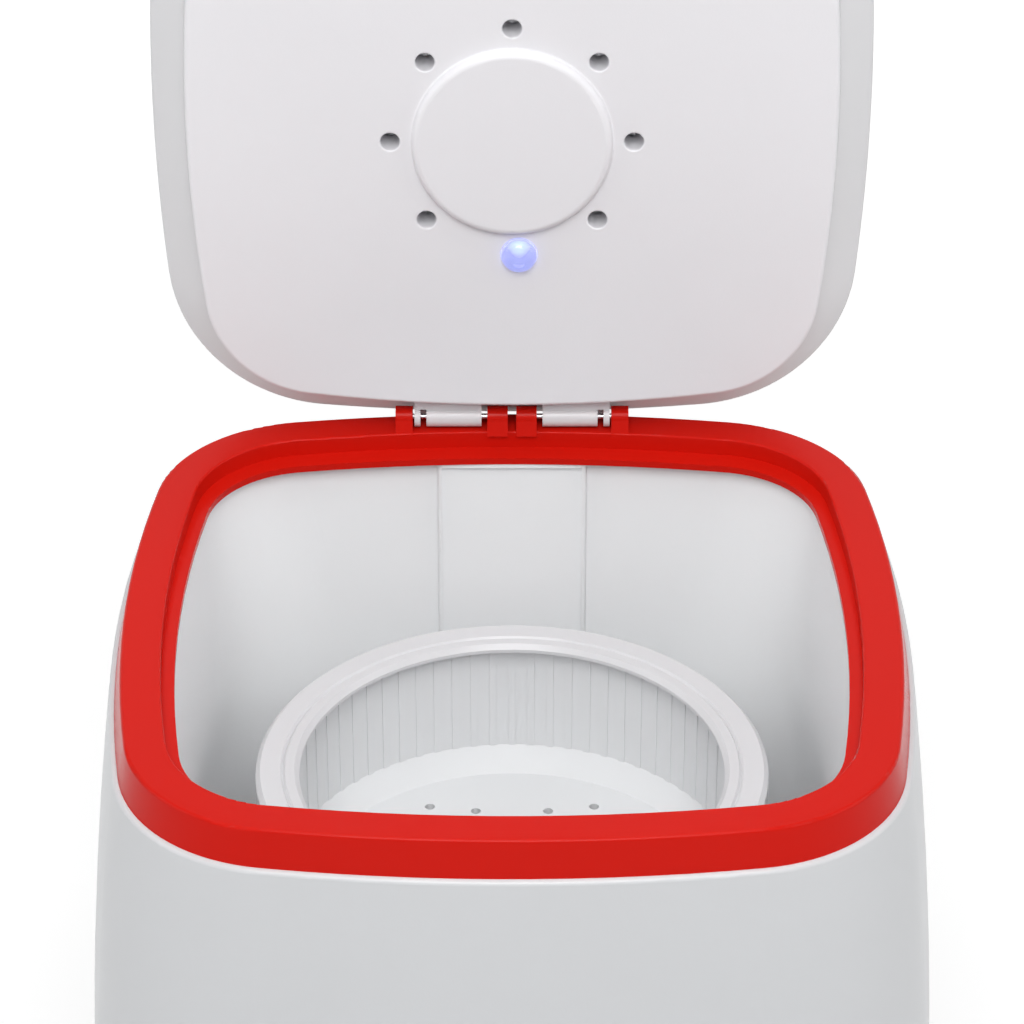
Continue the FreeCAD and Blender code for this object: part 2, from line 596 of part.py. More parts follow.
def make_overflow_cover():
    body = new_body("overflow_cover")
    low, high = "(tub_floor + cover_low)", f"({SEAT_UNDER} - cover_gap)"

    def slab(near, far, bottom, top):
        return [(f"{back_wall(bottom)} - {near}", bottom), (f"{back_wall(bottom)} - {far}", bottom),
                (f"{back_wall(top)} - {far}", top), (f"{back_wall(top)} - {near}", top)]
    side = sketch(body, "YZ_Plane", "-cover_width / 2")
    pad(body, polygon(side, slab("cover_gap", "cover_proud", low, high)), "cover_width")

    def upright_front(edge):
        middle = edge.BoundBox.Center
        in_front = middle.y < value(f"{back_wall(middle.z)} - cover_proud / 2")
        return in_front and edge.BoundBox.ZLength > NEAR
    fillet(body, "cover_round", upright_front)
    inner = slab("cover_gap - cover_wall", "cover_proud - cover_wall",
                 f"({low} - cover_wall)", f"({high} - cover_wall)")
    hollow = polygon(sketch(body, "YZ_Plane", "cover_width / 2 - cover_wall"), inner)
    pocket(body, hollow, "cover_width - 2 * cover_wall")


def make_drain():
    strainer_top = "tub_floor + strainer_thick"
    strainer = turned("drain_strainer", [("0", "tub_floor"), ("strainer_r", "tub_floor"),
                                         ("strainer_r - strainer_thick", strainer_top), ("0", strainer_top)])
    for share in (1, 2):
        hole = circle(sketch(strainer, offset="tub_floor"), "strainer_hole_r", f"strainer_ring / {share}")
        cut = pocket(strainer, hole, "strainer_thick", reverse=True)
        polar(strainer, cut, f"strainer_holes / {share}")
    place(strainer, y=DRAIN_Y)
    bottom = f"({TUB_UNDER} - sump_length)"
    bore, shoulder = "(pipe_r - pipe_wall)", f"({TUB_UNDER} - sump_flange)"
    sump = turned("drain_sump", [(bore, bottom), ("pipe_r", bottom), ("pipe_r", shoulder),
                                 ("sump_flange_r", shoulder), ("sump_flange_r", TUB_UNDER),
                                 ("drain_r", TUB_UNDER), (bore, shoulder)])
    place(sump, y=DRAIN_Y)
    seat = f"({casing_half('(outlet_z + spigot_flange_r)')} + wall_fit)"
    inner_end, flange_end = f"({DRAIN_Y} + hose_bend)", f"{seat} + spigot_flange"
    outer_end = f"{flange_end} + spigot_reach"
    spigot = turned("drain_spigot", [(bore, inner_end), ("pipe_r", inner_end), ("pipe_r", seat),
                                     ("spigot_flange_r", seat), ("spigot_flange_r", flange_end),
                                     ("pipe_r", flange_end), ("pipe_r", outer_end), (bore, outer_end)])
    place(spigot, z="outlet_z", angle=-90)
    make_hose(bottom, inner_end)


def make_hose(sump_end, spigot_end):
    """The hose inside the machine, from the sump down and round to the spigot."""
    body = new_body("drain_hose")
    top, end = f"({sump_end} + hose_lap)", f"({spigot_end} + hose_lap)"
    path = sketch(body, "YZ_Plane")
    bend_y, bend_z = f"({DRAIN_Y} + hose_bend)", "(outlet_z + hose_bend)"
    corner = Vector(value(bend_y), value(bend_z), 0)
    radius = value("hose_bend")
    upper_end = Vector(value(DRAIN_Y), value(top), 0)
    outer_end = Vector(value(end), value("outlet_z"), 0)
    path.addGeometry(Part.LineSegment(upper_end, corner - Vector(radius, 0, 0)))
    ring = Part.Circle(corner, Vector(0, 0, 1), radius)
    path.addGeometry(Part.ArcOfCircle(ring, math.pi, 1.5 * math.pi))
    path.addGeometry(Part.LineSegment(corner - Vector(0, radius, 0), outer_end))
    path.addConstraint(Sketcher.Constraint("Tangent", 0, 2, 1, 1))
    path.addConstraint(Sketcher.Constraint("Tangent", 1, 2, 2, 1))
    constrain(path, "hose_bend", "Radius", 1)
    pin_point(path, 1, 3, bend_y, bend_z)
    pin_point(path, 0, 1, DRAIN_Y, top)
    pin_point(path, 2, 2, end, "outlet_z")
    for kind, radius in (("AdditivePipe", f"{HOSE_R} + hose_wall"), ("SubtractivePipe", HOSE_R)):
        made = feature(body, kind, circle(sketch(body, offset=top), radius, y=DRAIN_Y))
        made.Spine = (path, ["Edge1", "Edge2", "Edge3"])
        settle(made)
    clamps = new_body("hose_clamps")
    inner = f"({HOSE_R} + hose_wall)"
    upright = circle(sketch(clamps, offset=f"({top} - 2 * clamp_width)"), inner, y=DRAIN_Y)
    pad(clamps, circle(upright, f"({inner} + clamp_wall)", y=DRAIN_Y), "clamp_width")
    level_ring = circle(sketch(clamps, "XZ_Plane", f"-({end} - clamp_width)"), inner, y="outlet_z")
    pad(clamps, circle(level_ring, f"({inner} + clamp_wall)", y="outlet_z"), "clamp_width")


# Basket, pulsator and drive

def make_basket():
    outer, floor_under = "(basket_r + basket_wall)", f"({BASKET_FLOOR} - basket_floor_thick)"
    inner_pedestal = "(pedestal_r - pedestal_wall)"
    dome_top = f"{BASKET_FLOOR} + dome_height"
    cone_top = f"({BASKET_FLOOR} + basket_cone)"
    basket = turned("spin_basket", [
        ("0", floor_under), (inner_pedestal, floor_under), (inner_pedestal, PULSATOR_TOP),
        ("pedestal_r", PULSATOR_TOP), ("pedestal_r", floor_under), (outer, floor_under),
        (outer, RING_UNDER), ("basket_r", RING_UNDER), ("basket_r", cone_top),
        ("basket_r - basket_cone", BASKET_FLOOR), ("dome_r", BASKET_FLOOR), ("dome_top_r", dome_top),
        ("0", dome_top)])
    fillet(basket, "basket_round", level(floor_under, least="(pedestal_r + basket_r) / 2"))
    rib = box(sketch(basket, offset=cone_top), "basket_r - rib_depth", "basket_r + basket_wall / 2",
              "-rib_width / 2", "rib_width / 2")
    polar(basket, pad(basket, rib, f"{RING_UNDER} - {cone_top} - rib_short"), "rib_count")
    rows = (("drain_outer_r", "0", "drain_holes / 2"), ("drain_row_r", "180 / drain_holes", "drain_holes"),
            ("drain_inner_r", "0", "drain_holes"))
    for ring_r, turn, count in rows:
        hole = circle(sketch(basket, offset=floor_under), "drain_hole_r", *around(ring_r, turn))
        polar(basket, pocket(basket, hole, "basket_floor_thick", reverse=True), count)
    low, groove = f"({RING_TOP} - ring_skirt)", f"({RING_TOP} - ring_groove)"
    shoulder, inside = f"{RING_TOP} - ring_round", "ring_r - ring_wall"
    turned("basket_ring", [
        ("ring_inner_r", RING_UNDER), ("ring_inner_r", shoulder), ("ring_inner_r + ring_round", RING_TOP),
        ("ring_groove_r - ring_groove", RING_TOP), ("ring_groove_r", groove),
        ("ring_groove_r + ring_groove", RING_TOP), ("ring_r - ring_round", RING_TOP), ("ring_r", shoulder),
        ("ring_r", low), (inside, low), (inside, RING_UNDER)])


def make_pulsator():
    lip = f"({PULSATOR_TOP} + pulsator_lip)"
    foot = "(pulsator_base - hub_drop)"
    body = turned("pulsator", [
        ("shaft_r", foot), ("hub_r", foot), ("hub_r", "pulsator_base"), ("pulsator_r", "pulsator_base"),
        ("pulsator_r", lip), ("pulsator_r - pulsator_lip", PULSATOR_TOP), ("hub_r", PULSATOR_TOP),
        ("hub_r", "shaft_top"), ("shaft_r", "shaft_top")])
    blade = box(sketch(body, "XY_Plane", PULSATOR_TOP), "blade_inner", "pulsator_r - 2 * pulsator_lip",
                "-blade_width / 2", "blade_width / 2")
    polar(body, pad(body, blade, "blade_height"), "blade_count")
    bore = "(shaft_top - cap_shank)"
    turned("drive_shaft", [("0", "shaft_bottom"), ("shaft_r", "shaft_bottom"), ("shaft_r", "shaft_top"),
                           ("cap_shank_r", "shaft_top"), ("cap_shank_r", bore), ("0", bore)])
    screws("pulsator_screw", [("0", "0")], "shaft_top + cap_head", "cap_head_r", "cap_head", "cap_shank_r",
           "cap_shank")


def make_bearings():
    top, neck = TUB_UNDER, f"({TUB_UNDER} + housing_neck)"
    flange = f"({TUB_UNDER} - housing_flange)"
    seal = f"({neck} - seal_height)"
    upper = f"({seal} - bearing_inset - bearing_width)"
    lower = "(housing_bottom + bearing_inset)"
    upper_end, lower_end = f"{upper} + bearing_width", f"{lower} + bearing_width"
    shaft_gap = "(shaft_r + running_fit)"
    housing = turned("bearing_housing", [
        ("bearing_r", "housing_bottom"), ("housing_r", "housing_bottom"), ("housing_r", flange),
        ("housing_flange_r", flange), ("housing_flange_r", top), ("housing_neck_r", top),
        ("housing_neck_r", neck), ("seal_r", neck), ("seal_r", seal), ("housing_bore_r", seal),
        ("housing_bore_r", upper_end), ("bearing_r", upper_end), ("bearing_r", upper),
        ("housing_bore_r", upper), ("housing_bore_r", lower_end), ("bearing_r", lower_end)])
    holes(housing, HOUSING_HOLES, "housing_screw_r", flange, "housing_flange")
    screws("housing_screws", HOUSING_HOLES, f"({flange} - screw_head)", "screw_head_r", "screw_head",
           "housing_screw_r", "housing_flange + tub_floor_thick / 2", down=False)
    turned("upper_bearing", tube(shaft_gap, "bearing_r", upper, upper_end))
    turned("lower_bearing", tube(shaft_gap, "bearing_r", lower, lower_end))
    turned("shaft_seal", tube(shaft_gap, "seal_r", seal, neck))


def pulley_profile(bore, outer, rim, hub):
    """Half section of a pulley with a sloped belt groove; the rim and the hub are joined by a web."""
    low, high = "(pulley_mid - pulley_width / 2)", "(pulley_mid + pulley_width / 2)"
    floor = f"({outer} - groove_depth)"
    floor_low, floor_high = "pulley_mid - groove_floor / 2", "pulley_mid + groove_floor / 2"
    groove = [(outer, low), (outer, f"{floor_low} - groove_slope"), (floor, floor_low),
              (floor, floor_high), (outer, f"{floor_high} + groove_slope"), (outer, high)]
    if not rim:
        return [(bore, low)] + groove + [(bore, high)]
    web_low, web_high = "pulley_mid - pulley_web / 2", "pulley_mid + pulley_web / 2"
    inside = f"({outer} - {rim})"
    hub_low, hub_high = "pulley_mid - pulley_hub / 2", "pulley_mid + pulley_hub / 2"
    lower_half = [(bore, hub_low), (hub, hub_low), (hub, web_low), (inside, web_low), (inside, low)]
    upper_half = [(inside, high), (inside, web_high), (hub, web_high), (hub, hub_high), (bore, hub_high)]
    return lower_half + groove + upper_half


def belt_loop(drawing, offset):
    """A loop round the two pulleys, as two arcs and two straight runs."""
    large_r, small_r = f"{GROOVE_R} + {offset}", f"{MOTOR_GROOVE_R} + {offset}"
    large, small, span = value(large_r), value(small_r), value("motor_x")
    lean = math.acos((large - small) / span)
    first = drawing.GeometryCount
    near, far = Vector(), Vector(span, 0, 0)
    edge = Vector(math.cos(lean), math.sin(lean), 0)
    mirror = Vector(edge.x, -edge.y, 0)
    large_ring = Part.Circle(near, Vector(0, 0, 1), large)
    small_ring = Part.Circle(far, Vector(0, 0, 1), small)
    drawing.addGeometry(Part.ArcOfCircle(large_ring, lean, 2 * math.pi - lean))
    drawing.addGeometry(Part.LineSegment(near + mirror * large, far + mirror * small))
    drawing.addGeometry(Part.ArcOfCircle(small_ring, -lean, lean))
    drawing.addGeometry(Part.LineSegment(far + edge * small, near + edge * large))
    for step in range(4):
        after = first + (step + 1) % 4
        drawing.addConstraint(Sketcher.Constraint("Tangent", first + step, 2, after, 1))
    constrain(drawing, large_r, "Radius", first)
    constrain(drawing, small_r, "Radius", first + 2)
    pin_point(drawing, first, 3, "0", "0")
    pin_point(drawing, first + 2, 3, "motor_x", "0")
    return drawing


def make_belt_drive():
    pulley = turned("drive_pulley", pulley_profile("shaft_r", "pulley_r", "pulley_rim", "pulley_hub_r"))
    hole = circle(sketch(pulley, offset="pulley_mid - pulley_web / 2"), "web_hole_r", "web_hole_ring")
    polar(pulley, pocket(pulley, hole, "pulley_web", reverse=True), "web_holes")
    place(turned("motor_pulley", pulley_profile("motor_shaft_r", "motor_pulley_r", "", "")), "motor_x")
    nut = new_body("pulley_nut")
    low = "pulley_mid - pulley_hub / 2 - nut_height"
    hexagon = polygon(sketch(nut, offset=low), [around("nut_r", f"{step * 60}") for step in range(6)])
    pad(nut, circle(hexagon, "shaft_r"), "nut_height")
    belt = new_body("drive_belt")
    loop = belt_loop(sketch(belt, offset="pulley_mid - groove_floor / 2 + belt_play"), "belt_gap")
    pad(belt, belt_loop(loop, "(belt_gap + belt_thick)"), "groove_floor - 2 * belt_play")


# Motor, its mounting and its capacitor

def make_motor():
    inside = "(motor_r - motor_wall)"
    floor = "(motor_bottom + motor_wall)"
    bush_seat = f"({floor} + motor_bush)"
    place(turned("motor_housing", [
        ("0", "motor_bottom"), ("motor_r", "motor_bottom"), ("motor_r", MOTOR_TOP), (inside, MOTOR_TOP),
        (inside, floor), ("motor_boss_r", floor), ("motor_boss_r", bush_seat), ("motor_bush_r", bush_seat),
        ("motor_bush_r", floor), ("0", floor)]), "motor_x")
    cap_top = f"({MOTOR_TOP} + motor_cap)"
    boss_top = f"({cap_top} + motor_boss)"
    upper = f"({boss_top} - motor_bush)"
    shaft_gap = "(motor_shaft_r + running_fit)"
    place(turned("motor_cap", [
        ("motor_bush_r", MOTOR_TOP), ("motor_r", MOTOR_TOP), ("motor_r", f"{cap_top} - motor_wall"),
        ("motor_r - motor_wall", cap_top), ("motor_boss_r", cap_top), ("motor_boss_r", boss_top),
        ("motor_bush_r", boss_top)]), "motor_x")
    place(turned("motor_bushes", tube(shaft_gap, "motor_bush_r", floor, bush_seat),
                 tube(shaft_gap, "motor_bush_r", upper, boss_top)), "motor_x")
    low, high = "(motor_bottom + stator_inset)", "(motor_bottom + stator_inset + stator_height)"
    place(turned("stator_core", tube("stator_r", inside, low, high)), "motor_x")
    core = tube("motor_shaft_r", "(stator_r - air_gap)", f"{low} + rotor_short", f"{high} - rotor_short")
    place(turned("motor_rotor", core), "motor_x")
    shaft_end = f"({floor} + running_fit)"
    shaft = tube("0", "motor_shaft_r", shaft_end, "(pulley_mid + pulley_width / 2)")
    place(turned("motor_shaft", shaft), "motor_x")


def make_motor_mounting():
    bracket_low = "(motor_bottom - bracket_thick)"
    bracket = new_body("motor_bracket")
    plate = sketch(bracket, offset=bracket_low)
    round_box(plate, "bracket_x", "bracket_y", "bracket_round", "motor_x")
    pad(bracket, plate, "bracket_thick")
    holes(bracket, MOUNTS, "bolt_r + bolt_play", bracket_low, "bracket_thick")
    mounts = new_body("rubber_mounts")
    rings = sketch(mounts, offset=PAN_TOP)
    for x, y in MOUNTS:
        circle(circle(rings, "mount_r", x, y), "bolt_r + bolt_play", x, y)
    pad(mounts, rings, f"{bracket_low} - {PAN_TOP}")
    screws("motor_bolts", MOUNTS, "motor_bottom + bolt_head", "bolt_head_r", "bolt_head", "bolt_r",
           "motor_bottom - foot_height")


def make_capacitor():
    top = f"({PAN_TOP} + can_height)"
    can = turned("capacitor", [("0", PAN_TOP), ("can_r", PAN_TOP), ("can_r", f"{top} - can_round"),
                               ("can_r - can_round", top), ("0", top)])
    posts = sketch(can, offset=top)
    for side in (-1, 1):
        circle(posts, "can_post_r", f"{side} * can_post_place")
    pad(can, posts, "can_post")
    place(can, "-cap_x", "cap_y")
    clip = new_body("capacitor_clip")
    outer = "(can_r + wall_fit + clip_wall)"
    band = circle(sketch(clip, offset=f"{PAN_TOP} + clip_low"), "can_r + wall_fit")
    pad(clip, circle(band, outer), "clip_height")
    for end, height in ((outer, "clip_low + clip_height"), (f"{outer} + clip_foot", "clip_wall")):
        leg = sketch(clip, offset=PAN_TOP)
        box(leg, f"{outer} - clip_wall", end, "-clip_foot / 2", "clip_foot / 2")
        pad(clip, leg, height)
    place(clip, "-cap_x", "cap_y")


# Controls and the gland

def make_controls():
    fascia = new_body("control_fascia")
    face = sketch(fascia, "XZ_Plane", f"({FASCIA_FRONT} - fascia_depth)")
    round_box(face, "fascia_half", "fascia_height", "fascia_corner", y="fascia_z")
    pad(fascia, face, "fascia_depth")
    fillet(fascia, "fascia_round", in_front_of(FASCIA_FRONT))
    back = sketch(fascia, "XZ_Plane", FASCIA_BACK)
    round_box(back, "fascia_half - fascia_wall", "fascia_height - fascia_wall",
              "fascia_corner - fascia_wall", y="fascia_z")
    pocket(fascia, back, "fascia_depth - fascia_plate")
    spindles = sketch(fascia, "XZ_Plane", FASCIA_FRONT)
    for side in (-1, 1):
        circle(spindles, "spindle_r + wall_fit", f"{side} * knob_x", "fascia_z")
    pocket(fascia, spindles, "fascia_plate")
    for side, name, unit in ((-1, "timer", "timer_unit"), (1, "selector", "selector_switch")):
        make_control(f"{side} * knob_x", name, unit)


def make_control(x, name, unit_label):
    """A switch unit behind the fascia, with the spindle and the knob that turn it."""
    unit = new_body(unit_label)
    block = sketch(unit, "XZ_Plane", f"({FASCIA_BACK} - unit_depth)")
    pad(unit, round_box(block, "unit_half", "unit_half", "unit_round", x, "fascia_z"), "unit_depth")
    bore = circle(sketch(unit, "XZ_Plane", FASCIA_BACK), "spindle_r + running_fit", x, "fascia_z")
    pocket(unit, bore, "spindle_in + running_fit")
    base = f"({FASCIA_FRONT} + knob_gap)"
    top = f"({base} + knob_height)"
    spindle_end = f"({top} - knob_roof)"
    spindle_start = f"({FASCIA_BACK} - spindle_in)"
    spindle = new_body(f"{name}_spindle")
    rod = circle(sketch(spindle, "XZ_Plane", spindle_start), "spindle_r", x, "fascia_z")
    pad(spindle, rod, f"{spindle_end} - {spindle_start}")
    knob = new_body(f"{name}_knob")
    pad(knob, circle(sketch(knob, "XZ_Plane", base), "knob_r", x, "fascia_z"), "knob_base")
    fillet(knob, "knob_round", in_front_of(f"{base} + knob_base"))
    grip = sketch(knob, "XZ_Plane", f"{base} + knob_base / 2")
    round_box(grip, "knob_bar", "knob_r - knob_round", "knob_bar - knob_round", x, "fascia_z")
    pad(knob, grip, "knob_height - knob_base / 2")
    fillet(knob, "knob_round", in_front_of(top))
    socket = circle(sketch(knob, "XZ_Plane", base), "spindle_r", x, "fascia_z")
    pocket(knob, socket, f"{spindle_end} - {base}", reverse=True)


def gland_outline(drawing, play="0"):
    """A square that can't turn in the wall."""
    half = f"gland_half + {play}"
    return round_box(drawing, half, half, f"gland_corner + {play}", "gland_x", "gland_z")


def make_gland():
    body = new_body("cord_gland")
    wall = f"({casing_half('gland_z')} - {bow_drop('gland_x')})"
    pad(body, gland_outline(sketch(body, "XZ_Plane", f"-({wall} + gland_out)")), "gland_in + gland_out")
    bore = circle(sketch(body, "XZ_Plane", f"-({wall} - gland_in)"), "gland_bore_r", "gland_x", "gland_z")
    pocket(body, bore, "gland_in + gland_out")


# Lid, drawn shut and then opened

def lid_outline(drawing, inset="0"):
    """The lid's widest outline."""
    half = f"({LID_HALF} - {inset})"
    return outline(drawing, half, half, f"(lid_corner - {inset})", f"(lid_bow - {inset})")


def panel_outline(drawing, offset="0"):
    half = f"({PANEL_HALF} + {offset})"
    return outline(drawing, half, half, f"(panel_corner + {offset})", f"(panel_bow + {offset})")


def make_lid_shell():
    body = new_body("lid_shell")
    neck = panel_outline(sketch(body, offset=PLUG_TOP), "plug_step")
    loft(body, [neck, lid_outline(sketch(body, offset=WIDEST))])
    pad(body, lid_outline(sketch(body, offset=WIDEST)), "lid_thick - lid_widest")
    inner = [panel_outline(sketch(body, offset=PLUG_TOP), "plug_step - lid_wall"),
             lid_outline(sketch(body, offset=WIDEST), "(lid_brow + lid_wall)")]
    loft(body, inner, cut=True)
    ceiling = lid_outline(sketch(body, offset=WIDEST), "(lid_round + lid_wall)")
    pocket(body, ceiling, "lid_thick - lid_widest - lid_wall", reverse=True)
    fillet(body, "lid_round", level(LID_TOP))
    fillet(body, "lid_brow", level(WIDEST, least=f"{LID_HALF} - lid_wall / 5"))
    bosses = sketch(body, offset=f"{WELL_END} + well_floor")
    for x, y in WELL_PLACES:
        circle(bosses, "boss_r", x, y)
    pad(body, bosses, f"{LID_TOP} - lid_wall / 2 - {WELL_END} - well_floor")
    holes(body, WELL_PLACES, "screw_r", f"{WELL_END} + well_floor", "screw_length - well_floor")
    along_hinge(body, (arm_profile, hinge_profile), KNUCKLE_IN, "knuckle_length")
    hinge_bore(body, "pin_play")
    slots = sketch(body, offset=f"{HINGE_Z} - knuckle_r")
    slot_out = f"({KNUCKLE_OUT} - slot_inset)"
    slot_in = f"({slot_out} - slot_width)"
    for left, right in ((f"-{slot_out}", f"-{slot_in}"), (slot_in, slot_out)):
        box(slots, left, right, f"{HINGE_Y} - knuckle_r", f"{HINGE_Y} + knuckle_r")
    pocket(body, slots, "2 * knuckle_r - slot_back", reverse=True)
    on_lid(body)


def make_lid_panel():
    body = new_body("lid_panel")
    pad(body, panel_outline(sketch(body, offset=PANEL_Z)), "plug_height")
    fillet(body, "panel_round", level(PANEL_Z))
    inside = f"({PANEL_Z} + panel_thick)"
    pocket(body, panel_outline(sketch(body, offset=inside), "-lid_wall"), "plug_height", reverse=True)
    disc = f"({PANEL_Z} - disc_height)"
    pad(body, circle(sketch(body, offset=disc), "disc_r", y=DISC_Y), "disc_height")
    fillet(body, "disc_round", level(disc))
    fillet(body, "disc_foot", whole_circle(PANEL_Z, "disc_r"))
    tubes = sketch(body, offset=inside)
    for x, y in WELL_PLACES:
        circle(tubes, "well_r + well_wall", x, y)
    pad(body, tubes, f"{WELL_END} + well_floor - {inside}")
    holes(body, WELL_PLACES, "well_r", PANEL_Z, "well_depth")
    fillet(body, "well_mouth", whole_circle(PANEL_Z, "well_r"))
    holes(body, WELL_PLACES, "screw_r + screw_play", WELL_END, "well_floor")
    holes(body, [("lamp_aside", LAMP_Y)], "lamp_r + lamp_fit", PANEL_Z, "panel_thick")
    on_lid(body)
    on_lid(screws("lid_screws", WELL_PLACES, f"({WELL_END} - screw_head)", "screw_head_r", "screw_head",
                  "screw_r", "screw_length", down=False))


def make_lamp():
    """A lamp in the panel: clear lens, cup behind it, and a board with one diode."""
    inside = "panel_thick"
    flange = "(lamp_r + lamp_flange)"
    lens_top = "(panel_thick + lamp_flange_thick)"
    cup_top = f"({lens_top} + holder_height)"
    cup_r, cup_floor = f"{flange} - holder_wall", f"({cup_top} - holder_wall)"
    board = f"({cup_floor} - board_drop)"
    led_tip = f"{board} - led_height"
    lens = turned("lamp_lens", [("0", "-lamp_proud"), ("lamp_r", "-lamp_proud"), ("lamp_r", inside),
                                (flange, inside), (flange, lens_top), ("0", lens_top)])
    fillet(lens, "lamp_round", level("-lamp_proud"))
    diode = turned("lamp_diode", tube("0", "led_r", led_tip, board))
    fillet(diode, "led_round", level(led_tip))
    pieces = [
        lens,
        diode,
        turned("lamp_holder", [(cup_r, lens_top), (flange, lens_top), (flange, cup_top), ("0", cup_top),
                               ("0", cup_floor), (cup_r, cup_floor)]),
        turned("lamp_board", tube("0", cup_r, board, f"{board} + board_thick")),
    ]
    for piece in pieces:
        on_lid(piece, "lamp_aside", LAMP_Y, PANEL_Z)


for make in (make_casing, make_base, make_rim, make_tub, make_overflow_cover, make_drain, make_basket,
             make_pulsator, make_bearings, make_belt_drive, make_motor, make_motor_mounting, make_capacitor,
             make_controls, make_gland, make_lid_shell, make_lid_panel, make_lamp):
    make()
doc.recompute()

# Every object has to be sound before anything is written.
for item in doc.Objects:
    if "Invalid" in item.State or "Error" in item.State:
        raise RuntimeError(f"{item.Label} failed: {item.State}")
for item in sub_parts:
    if item.Shape.isNull() or not item.Shape.isValid():
        raise RuntimeError(f"{item.Label} has no valid shape")

os.makedirs("parts", exist_ok=True)
for item in sub_parts:
    item.Shape.exportStep(f"parts/{item.Label}.step")
    print(f"{item.Label}: {len(item.Shape.Solids)} solid(s), {item.Shape.Volume / 1000:.2f} cm3")
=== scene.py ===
"""A small top-loading washing machine with its lid open, dressed for a studio picture, in metres."""
import bmesh
import bpy
import json
import math
from mathutils import Matrix, Vector


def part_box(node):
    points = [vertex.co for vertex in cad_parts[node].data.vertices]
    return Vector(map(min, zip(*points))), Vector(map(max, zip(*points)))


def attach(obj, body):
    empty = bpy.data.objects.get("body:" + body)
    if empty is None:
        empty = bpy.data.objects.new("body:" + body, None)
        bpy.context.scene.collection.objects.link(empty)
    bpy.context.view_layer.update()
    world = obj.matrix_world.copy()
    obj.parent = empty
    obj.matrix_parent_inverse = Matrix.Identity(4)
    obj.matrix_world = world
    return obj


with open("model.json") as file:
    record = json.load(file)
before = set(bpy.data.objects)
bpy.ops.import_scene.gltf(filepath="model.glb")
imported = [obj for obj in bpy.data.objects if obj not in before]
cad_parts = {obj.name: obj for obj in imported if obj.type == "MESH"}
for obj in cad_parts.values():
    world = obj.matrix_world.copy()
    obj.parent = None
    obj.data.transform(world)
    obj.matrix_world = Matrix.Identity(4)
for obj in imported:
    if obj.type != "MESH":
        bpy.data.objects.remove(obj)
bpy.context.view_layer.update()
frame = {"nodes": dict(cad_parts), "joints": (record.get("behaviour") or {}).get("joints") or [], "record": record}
MM = 0.001

# The photograph's camera: its frame in pixels, the lens, and where the middle of the rim appears.
IMAGE_SIZE = 1024
FOCAL_PIXELS = 4155.0
SENSOR_MM = 36.0
CAMERA_ELEVATION = math.radians(33.25)
CAMERA_DISTANCE = 1.7173
RIM_CENTRE = Vector((0, 0, 0.470))
RIM_CENTRE_PIXEL_Y = 609.9

# Light: the radiance of the surroundings, and lamps as place, target, size and watts.
AMBIENT = 0.20
LAMPS = {
    "top": ((0, 0, 2.3), (0, 0, 0.4), 1.6, 11.5),
    "high_front": ((0, -1.5, 2.2), (0, 0.1, 0.6), 1.2, 35.5),
    "left": ((-2.0, -0.4, 1.4), (0, 0, 0.45), 1.4, 10.5),
    "right": ((2.0, -0.4, 1.4), (0, 0, 0.45), 1.4, 11.5),
}

# The floor, and the glow that whitens it to the eye as it gets farther from the machine.
FLOOR_HALF = 7.0
FLOOR_WHITE = (0.84, 0.84, 0.84)
FLOOR_ROUGH = 0.9
FLOOR_GLOW_NEAR = 0.37
FLOOR_GLOW_FAR = 0.86
GLOW_STARTS = 0.3
GLOW_ENDS = 2.2
BACKGROUND_WHITE = 1.0

# Plain colours of the finishes, linear.
# The casing's white is set darker than the lid's and the panel's: painted shade standing in for the lesser light
# on the body.
WHITE_CASING_SHADED = (0.615, 0.625, 0.64)
WHITE_LID = (0.69, 0.69, 0.705)
WHITE_PANEL = (0.785, 0.78, 0.805)
WHITE_TUB = (0.84, 0.85, 0.86)
WHITE_BASKET = (0.73, 0.74, 0.75)
# The ring's white is a darker copy of the basket's plastic: painted shade on its brightly lit top.
WHITE_RING_SHADED = (0.635, 0.635, 0.65)
WHITE_FASCIA = (0.74, 0.745, 0.755)
RED = (0.575, 0.009, 0.004)
BASE_GREY = (0.075, 0.078, 0.083)
UNIT_BLACK = (0.018, 0.018, 0.02)
RUBBER_BLACK = (0.02, 0.02, 0.021)
HOSE_GREY = (0.13, 0.135, 0.14)
STEEL = (0.58, 0.58, 0.6)
ZINC = (0.5, 0.52, 0.55)
ALLOY = (0.56, 0.57, 0.58)
MOTOR_BLACK = (0.012, 0.014, 0.016)
CORE_GREY = (0.26, 0.26, 0.27)
BRASS = (0.62, 0.42, 0.16)
BOARD_GREEN = (0.012, 0.10, 0.03)

# The lamp in the lid: the diode's body, its light from low to high, and the lens over it.
DIODE_BLUE = (0.25, 0.30, 0.8)
DIODE_DIM = (0.10, 0.10, 0.62)
DIODE_BRIGHT = (1.1, 1.7, 1.9)
DIODE_ROUGH = 0.2
CHIP_STARTS = 0.3
LENS_TINT = (0.62, 0.65, 0.98)
LENS_GLOW = (0.46, 0.49, 1.0)
LENS_GLOW_STRENGTH = 0.31
LENS_CLEARNESS = 0.8
LENS_IOR = 1.47

# The middle of a noise, which is spread over a range of values.
NOISE_LOW = 0.3
NOISE_HIGH = 0.7

# Spots to the metre on each kind of surface: clouds in its colour, patches in its gloss, and its grain.
PLASTIC_CLOUDS, PLASTIC_PATCHES, PLASTIC_GRAIN = 9, 18, 1200
RUBBER_CLOUDS, RUBBER_PATCHES, RUBBER_GRAIN = 90, 160, 900
METAL_CLOUDS, METAL_GRAIN = 60, 500
PAINT_CLOUDS, PAINT_PATCHES, PAINT_GRAIN = 50, 200, 700
LENS_CLOUDS, LENS_PATCHES = 300, 500
DIODE_CLOUDS = 400

